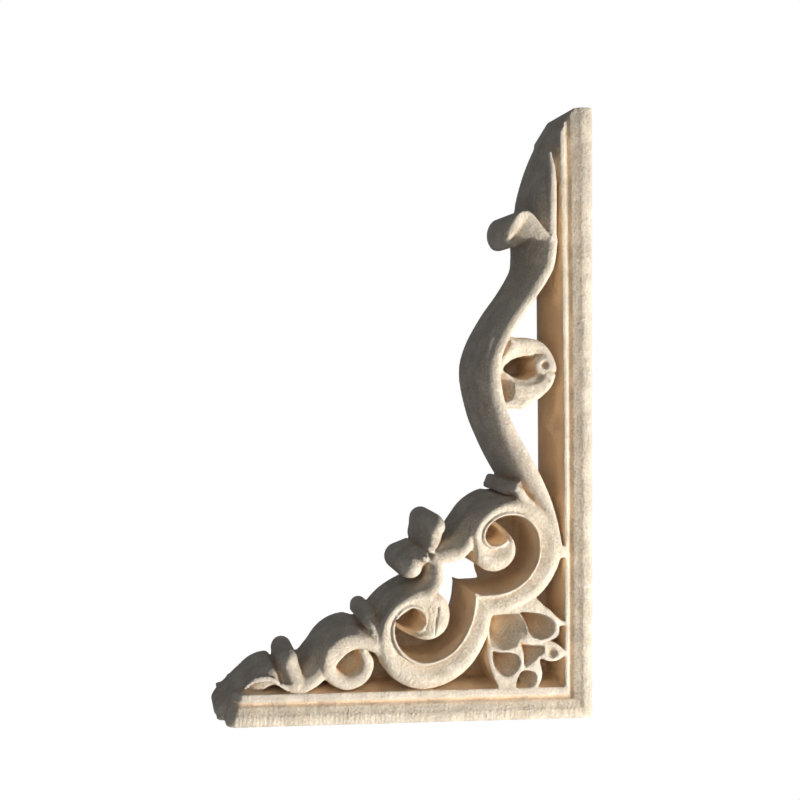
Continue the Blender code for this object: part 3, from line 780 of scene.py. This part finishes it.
def air_from_outside(flat_slice):
    """The cells without wood that a path through air joins to the edge of the plank."""
    air = flat_slice <= 0
    reached = np.zeros_like(air)
    reached[[0, -1], :] = True
    reached[:, [0, -1]] = True
    count = 0
    while count < reached.sum():
        count = reached.sum()
        reached[1:] |= reached[:-1]
        reached[:-1] |= reached[1:]
        reached[:, 1:] |= reached[:, :-1]
        reached[:, :-1] |= reached[:, 1:]
        reached &= air
    return reached


flat_slice = wood[:, :, np.searchsorted(heights, SAW_HEIGHT)]
shut_in = (flat_slice <= 0) & ~air_from_outside(flat_slice)
through = np.repeat(shut_in[:, :, None], len(heights), axis=2).astype(np.float32)
near_opening = blurred(through, WALL_CELLS)
normals = np.empty(len(light_mesh.vertices) * 3, dtype=np.float32)
light_mesh.vertices.foreach_get("normal", normals)
steep = np.clip((STEEP_BELOW - np.abs(normals.reshape(-1, 3)[:, 1])) / STEEP_SPAN, 0, 1)
# The walls that get painted bounce light: steep faces beside shut-in air.
painted_bounce = np.clip(read_at(near_opening, points) * WALL_GAIN, 0, 1) * steep
attribute = light_mesh.attributes.new("painted_bounce_wall", "FLOAT", "POINT")
attribute.data.foreach_set("value", painted_bounce.astype(np.float32))
print("cells in openings:", int(shut_in.sum()))
print("share of points on sawn walls:", round(float(painted_bounce.mean()), 3))

# %% [markdown]
# ## Grain and torn fibres
# Bare wood straight from the carver is pale and matt, with a fine fuzz where the cutter tore short
# fibres. The grain runs along the plank, upright here. Two node groups give these as masks and
# heights. They know nothing of colour, so any wood can use them.

# %% Shader groups for grain and fuzz
ALONG_GRAIN = (1, 1, 0.06)
PORES_PER_STREAK = 4.5
PATCH_SHARE = 0.12


def new_group(name, ins, outs):
    """An empty shader node group with the named sockets, and its two end nodes."""
    group = bpy.data.node_groups.new(name, "ShaderNodeTree")
    for label, kind, value in ins:
        socket = group.interface.new_socket(label, in_out="INPUT", socket_type=kind)
        if value is not None:
            socket.default_value = value
    for label, kind in outs:
        group.interface.new_socket(label, in_out="OUTPUT", socket_type=kind)
    return group, group.nodes.new("NodeGroupInput"), group.nodes.new("NodeGroupOutput")


def node(tree, kind, **settings):
    """A shader node of that kind with those settings."""
    made = tree.nodes.new("ShaderNode" + kind)
    for key, value in settings.items():
        setattr(made, key, value)
    return made


def grain_group():
    """Streaks along Z: noise on coordinates squeezed along the grain, once broad and once fine."""
    group, start, end = new_group(
        "wood_grain",
        [("Position", "NodeSocketVector", None), ("Scale", "NodeSocketFloat", 1.0),
         ("Stretch", "NodeSocketVector", ALONG_GRAIN)],
        [("Streaks", "NodeSocketFloat"), ("Pores", "NodeSocketFloat")])
    link = group.links.new
    squeeze = node(group, "VectorMath", operation="MULTIPLY")
    link(start.outputs["Position"], squeeze.inputs[0])
    link(start.outputs["Stretch"], squeeze.inputs[1])
    broad = node(group, "TexNoise")
    broad.inputs["Detail"].default_value = 5.0
    broad.inputs["Roughness"].default_value = 0.65
    link(squeeze.outputs[0], broad.inputs["Vector"])
    link(start.outputs["Scale"], broad.inputs["Scale"])
    fine_scale = node(group, "Math", operation="MULTIPLY")
    fine_scale.inputs[1].default_value = PORES_PER_STREAK
    link(start.outputs["Scale"], fine_scale.inputs[0])
    fine = node(group, "TexNoise")
    fine.inputs["Detail"].default_value = 3.0
    link(squeeze.outputs[0], fine.inputs["Vector"])
    link(fine_scale.outputs[0], fine.inputs["Scale"])
    link(broad.outputs[0], end.inputs["Streaks"])
    link(fine.outputs[0], end.inputs["Pores"])
    return group


def fuzz_group():
    """Torn fibres: a small noise as their height, and a large one for the patches they come in."""
    group, start, end = new_group(
        "torn_fibres", [("Position", "NodeSocketVector", None), ("Scale", "NodeSocketFloat", 1.0)],
        [("Height", "NodeSocketFloat"), ("Patches", "NodeSocketFloat")])
    link = group.links.new
    small = node(group, "TexNoise")
    small.inputs["Detail"].default_value = 6.0
    small.inputs["Roughness"].default_value = 0.7
    link(start.outputs["Position"], small.inputs["Vector"])
    link(start.outputs["Scale"], small.inputs["Scale"])
    patch_scale = node(group, "Math", operation="MULTIPLY")
    patch_scale.inputs[1].default_value = PATCH_SHARE
    link(start.outputs["Scale"], patch_scale.inputs[0])
    patch = node(group, "TexNoise")
    patch.inputs["Detail"].default_value = 2.0
    link(start.outputs["Position"], patch.inputs["Vector"])
    link(patch_scale.outputs[0], patch.inputs["Scale"])
    link(small.outputs[0], end.inputs["Height"])
    link(patch.outputs[0], end.inputs["Patches"])
    return group


grain, fuzz = grain_group(), fuzz_group()
print("node groups:", grain.name, "and", fuzz.name)

# %% [markdown]
# ## The bare wood
# The colour starts from the grain, pale with warmer streaks. Pores are darker. The feet of torn fibres
# are darker as painted shade, and their tips paler as a painted highlight. Then the masks kept on the
# mesh come in: a deeper, warmer painted shade in hollows, a paler painted highlight on ridges, and warm
# painted bounce light on the walls inside the openings. The fibres also lift the surface a little, so a
# low light finds them.

# %% The material of the bare wood
COLOUR_A, COLOUR_B, COLOUR_OUT = 6, 7, 2
MATT, LOW_SHINE = 0.82, 0.25
GRAIN_SCALE, FUZZ_SCALE = 420.0, 1050.0
FIBRE_HEIGHT, PORE_HEIGHT = 0.0015, 0.0002
PALE, WARM = (0.84, 0.76, 0.63, 1), (0.80, 0.69, 0.54, 1)
# A dark tone for pores, which is their own colour, and for the feet of torn fibres as painted shade; a pale
# one for fibre tips as a painted highlight.
PORE_DARK_AND_FIBRE_SHADE, FIBRE_TIP_HIGHLIGHT = (0.45, 0.36, 0.27, 1), (0.96, 0.93, 0.87, 1)
# Painted shade for hollows and a painted highlight for ridges; the last tone is painted bounce light for the
# walls inside the openings.
HOLLOW_SHADE, RIDGE_HIGHLIGHT, PAINTED_BOUNCE_TONE = (0.88, 0.62, 0.40, 1), (0.90, 0.85, 0.76, 1), (0.96, 0.76, 0.54, 1)


def mix_colour(tree, mask, first, second):
    """A mix of two colours, each a socket or a plain colour, by a mask socket."""
    mix = node(tree, "Mix", data_type="RGBA")
    tree.links.new(mask, mix.inputs["Factor"])
    for slot, value in ((COLOUR_A, first), (COLOUR_B, second)):
        if isinstance(value, tuple):
            mix.inputs[slot].default_value = value
        else:
            tree.links.new(value, mix.inputs[slot])
    return mix.outputs[COLOUR_OUT]


def ranged(tree, socket, low, high, to_low=0.0, to_high=1.0):
    """A socket's range from low to high, stretched to another range and clamped."""
    stretch = node(tree, "MapRange")
    tree.links.new(socket, stretch.inputs["Value"])
    for label, value in (("From Min", low), ("From Max", high), ("To Min", to_low), ("To Max", to_high)):
        stretch.inputs[label].default_value = value
    return stretch.outputs[0]


def bare_wood():
    """Pale bare wood: grain and torn fibres in colour and bump, painted shade at fibre feet and in hollows,
    painted highlights on fibre tips and ridges, and painted bounce light on the walls inside the openings.
    """
    material = bpy.data.materials.new("bare_carved_wood")
    material.use_nodes = True
    tree = material.node_tree
    shader = tree.nodes["Principled BSDF"]
    shader.inputs["Roughness"].default_value = MATT
    shader.inputs["Specular IOR Level"].default_value = LOW_SHINE
    where = node(tree, "TexCoord").outputs["Object"]
    grain_node = node(tree, "Group", node_tree=grain)
    grain_node.inputs["Scale"].default_value = GRAIN_SCALE
    fuzz_node = node(tree, "Group", node_tree=fuzz)
    fuzz_node.inputs["Scale"].default_value = FUZZ_SCALE
    tree.links.new(where, grain_node.inputs["Position"])
    tree.links.new(where, fuzz_node.inputs["Position"])
    streaks, pores = grain_node.outputs["Streaks"], grain_node.outputs["Pores"]
    fibres, patches = fuzz_node.outputs["Height"], fuzz_node.outputs["Patches"]
    # The mask for painted shade in hollows and a painted highlight on ridges.
    hollow_mask = node(tree, "Attribute", attribute_name="hollowness").outputs["Fac"]
    # The mask for painted bounce light on the walls inside the openings.
    painted_bounce_mask = node(tree, "Attribute", attribute_name="painted_bounce_wall").outputs["Fac"]
    colour = mix_colour(tree, ranged(tree, streaks, 0.35, 0.7), PALE, WARM)
    # Tones mixed in by mask: darker pores; painted shade at fibre feet; a painted highlight on fibre tips;
    # painted shade in hollows; a painted highlight on ridges; painted bounce light on the opening walls.
    for mask, low, high, most, tone in (
            (pores, 0.58, 0.75, 0.2, PORE_DARK_AND_FIBRE_SHADE), (fibres, 0.47, 0.38, 0.4, PORE_DARK_AND_FIBRE_SHADE),
            (fibres, 0.52, 0.62, 0.75, FIBRE_TIP_HIGHLIGHT), (hollow_mask, 0.05, 0.9, 0.85, HOLLOW_SHADE),
            (hollow_mask, -0.15, -0.9, 0.6, RIDGE_HIGHLIGHT), (painted_bounce_mask, 0, 1, 0.9, PAINTED_BOUNCE_TONE)):
        colour = mix_colour(tree, ranged(tree, mask, low, high, 0, most), colour, tone)
    tree.links.new(colour, shader.inputs["Base Color"])
    fibre = node(tree, "Math", operation="MULTIPLY")
    tree.links.new(fibres, fibre.inputs[0])
    tree.links.new(ranged(tree, patches, 0.35, 0.65, 0.35, 1.0), fibre.inputs[1])
    rough = node(tree, "Bump")
    rough.inputs["Distance"].default_value = FIBRE_HEIGHT
    rough.inputs["Strength"].default_value = 1.0
    tree.links.new(fibre.outputs[0], rough.inputs["Height"])
    lines = node(tree, "Bump")
    lines.inputs["Distance"].default_value = PORE_HEIGHT
    lines.inputs["Strength"].default_value = 0.6
    tree.links.new(pores, lines.inputs["Height"])
    tree.links.new(rough.outputs[0], lines.inputs["Normal"])
    tree.links.new(lines.outputs[0], shader.inputs["Normal"])
    return material


onlay.data.materials.clear()
onlay.data.materials.append(bare_wood())
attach(onlay, "root")
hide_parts("carved_corner_onlay")
print("material:", onlay.data.materials[0].name)

# %% [markdown]
# ## Floor and surroundings
# The onlay is looked at as it hangs, well above a pale floor. To the camera the floor and the world
# are plain white, as on a page. To the wood the world is a dim cool grey, so that its dark side
# stays dark.

# %% Floor and world
FLOOR_DROP = 0.60
HALF_FLOOR = 12.0
FLOOR_GREY, FLOOR_ROUGHNESS = (0.85, 0.85, 0.85, 1), 0.9
WHITE = (1, 1, 1, 1)
DIM_SKY, DIM_SKY_STRENGTH = (0.92, 0.94, 1.0, 1), 0.13
floor_z = cad_low.z - FLOOR_DROP
floor_mesh = bpy.data.meshes.new("pale_floor")
floor_corners = [(x * HALF_FLOOR, y * HALF_FLOOR, floor_z) for x, y in ((-1, -1), (1, -1), (1, 1), (-1, 1))]
floor_mesh.from_pydata(floor_corners, [], [(0, 1, 2, 3)])
floor = bpy.data.objects.new("pale_floor", floor_mesh)
bpy.context.scene.collection.objects.link(floor)
floor_material = bpy.data.materials.new("pale_floor")
floor_material.use_nodes = True
tree = floor_material.node_tree
paint = tree.nodes["Principled BSDF"]
paint.inputs["Base Color"].default_value = FLOOR_GREY
paint.inputs["Roughness"].default_value = FLOOR_ROUGHNESS
glow = tree.nodes.new("ShaderNodeEmission")
glow.inputs["Color"].default_value = WHITE
seen_by_camera = tree.nodes.new("ShaderNodeLightPath")
blend = tree.nodes.new("ShaderNodeMixShader")
tree.links.new(seen_by_camera.outputs["Is Camera Ray"], blend.inputs[0])
tree.links.new(paint.outputs[0], blend.inputs[1])
tree.links.new(glow.outputs[0], blend.inputs[2])
tree.links.new(blend.outputs[0], tree.nodes["Material Output"].inputs["Surface"])
floor_mesh.materials.append(floor_material)

bpy.context.scene.view_settings.view_transform = "Standard"
world = bpy.data.worlds.new("studio")
world.use_nodes = True
bpy.context.scene.world = world
tree = world.node_tree
background = tree.nodes["Background"]
seen = tree.nodes.new("ShaderNodeBackground")
seen.inputs["Color"].default_value = WHITE
seen.inputs["Strength"].default_value = 1.0
background.inputs["Color"].default_value = DIM_SKY
background.inputs["Strength"].default_value = DIM_SKY_STRENGTH
choose = tree.nodes.new("ShaderNodeMixShader")
path = tree.nodes.new("ShaderNodeLightPath")
tree.links.new(path.outputs["Is Camera Ray"], choose.inputs[0])
tree.links.new(background.outputs[0], choose.inputs[1])
tree.links.new(seen.outputs[0], choose.inputs[2])
tree.links.new(choose.outputs[0], tree.nodes["World Output"].inputs["Surface"])
print("floor at Z =", round(floor_z, 3), "and world:", world.name)

# %% [markdown]
# ## Lights
# One warm light from the right, in front of the carving and below its middle, brings out the relief
# as late sun does: faces turned to the right shine and the left ones go dark. It is small, so
# the shadows have fairly crisp edges. A weak wide light from the front keeps the hollows readable.

# %% Key and fill
KEY_PLACE, KEY_SIZE, KEY_POWER, KEY_COLOUR = (0.72, -0.62, -0.40), 0.12, 15.2, (1.0, 0.94, 0.86)
FILL_PLACE, FILL_SIZE, FILL_POWER, FILL_COLOUR = (-0.1, -1.5, 0.3), 0.8, 1.5, (1.0, 0.97, 0.93)


def area_light(name, place, target, size, power, colour):
    """A square soft light at a place, turned to the target."""
    data = bpy.data.lights.new(name, "AREA")
    data.size = size
    data.energy = power
    data.color = colour
    light = bpy.data.objects.new(name, data)
    bpy.context.scene.collection.objects.link(light)
    light.location = place
    light.rotation_euler = (Vector(target) - light.location).to_track_quat("-Z", "Y").to_euler()
    print(name, "at", [round(v, 3) for v in light.location], "with", power, "W")


middle = (cad_low + cad_high) / 2
area_light("warm_low_key", middle + Vector(KEY_PLACE), middle, KEY_SIZE, KEY_POWER, KEY_COLOUR)
area_light("weak_front_fill", middle + Vector(FILL_PLACE), middle, FILL_SIZE, FILL_POWER, FILL_COLOUR)

# %% [markdown]
# ## Camera
# The camera stands to the left of the onlay, level with the S scroll, and looks along the depth of
# the plank, turned 5 degrees. From there the right walls of the openings show. The lens is shifted
# rather than turned, so that upright edges stay upright.

# %% The camera
EYE = (-0.1806, -0.4794, 0.145)
YAW = 5.0
LENS, SENSOR = 50.0, 36.0
SHIFT_X, SHIFT_Y = 0.2, -0.056
camera_data = bpy.data.cameras.new("camera")
camera = bpy.data.objects.new("camera", camera_data)
bpy.context.scene.collection.objects.link(camera)
bpy.context.scene.camera = camera
camera.location = EYE
camera.rotation_euler = (math.radians(90), 0, math.radians(-YAW))
camera_data.lens = LENS
camera_data.sensor_width = SENSOR
camera_data.shift_x = SHIFT_X
camera_data.shift_y = SHIFT_Y
print("camera at", EYE, "with a", LENS, "mm lens")
